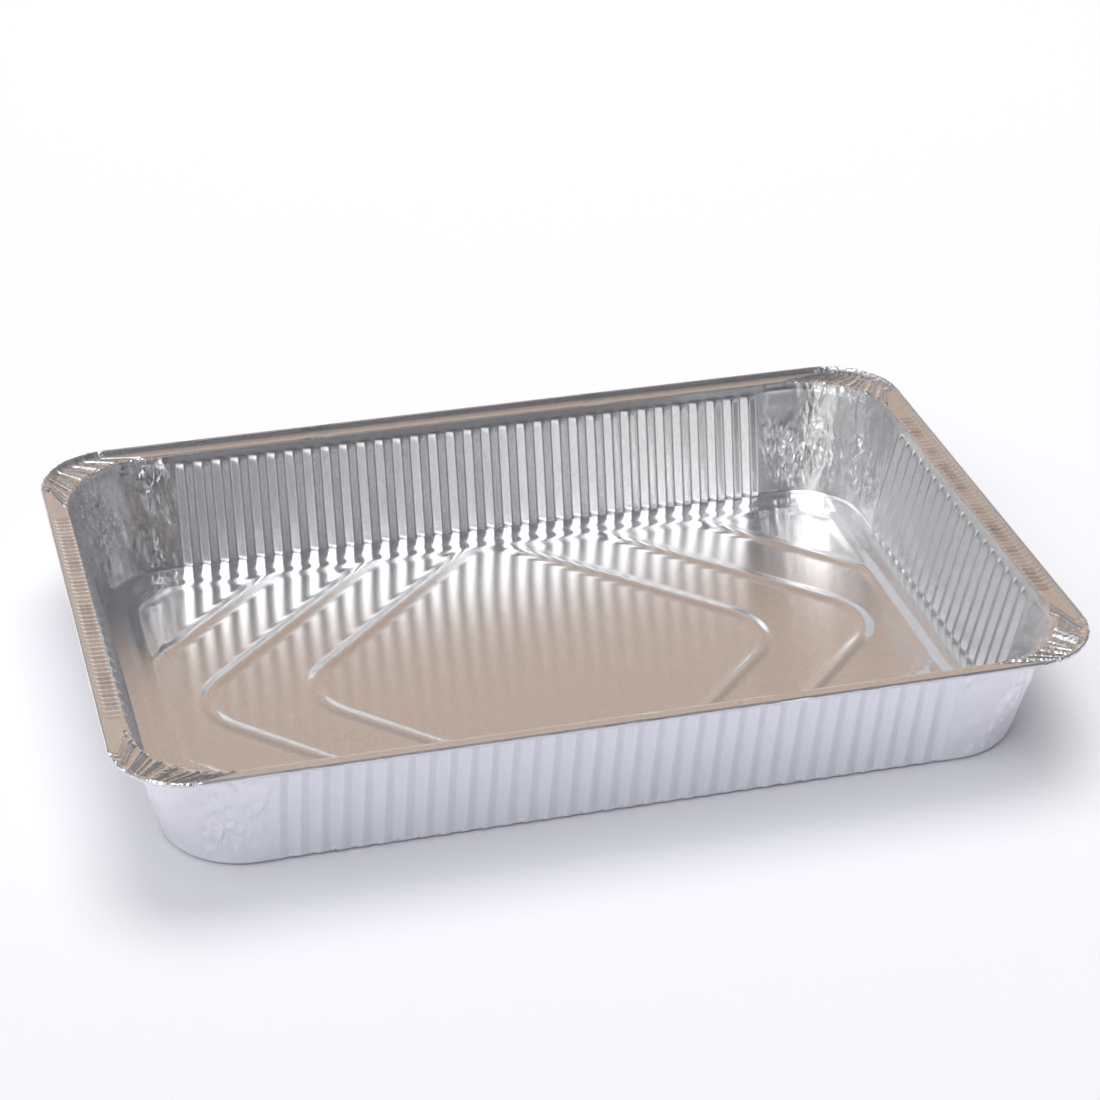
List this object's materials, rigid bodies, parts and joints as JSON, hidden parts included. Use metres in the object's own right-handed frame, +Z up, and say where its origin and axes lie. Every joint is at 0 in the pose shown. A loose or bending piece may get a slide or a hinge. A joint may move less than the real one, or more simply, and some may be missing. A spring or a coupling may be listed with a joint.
{
  "type": "foil roasting pan",
  "caption": "Shallow rectangular roasting pan pressed from thin aluminium foil, with fluted sloping walls, a rolled rim and a base stiffened by crossing ridges.",
  "frame": {"origin": "on the surface that the pan stands on, under the middle of its base", "axes": "X along the long sides, Y along the short sides, Z up out of the open mouth"},
  "size_m": [0.315, 0.215, 0.0437],
  "materials": {
    "foil": "bright rolled foil"
  },
  "bodies": {
    "root": {"pan": "foil"}
  },
  "joints": []
}
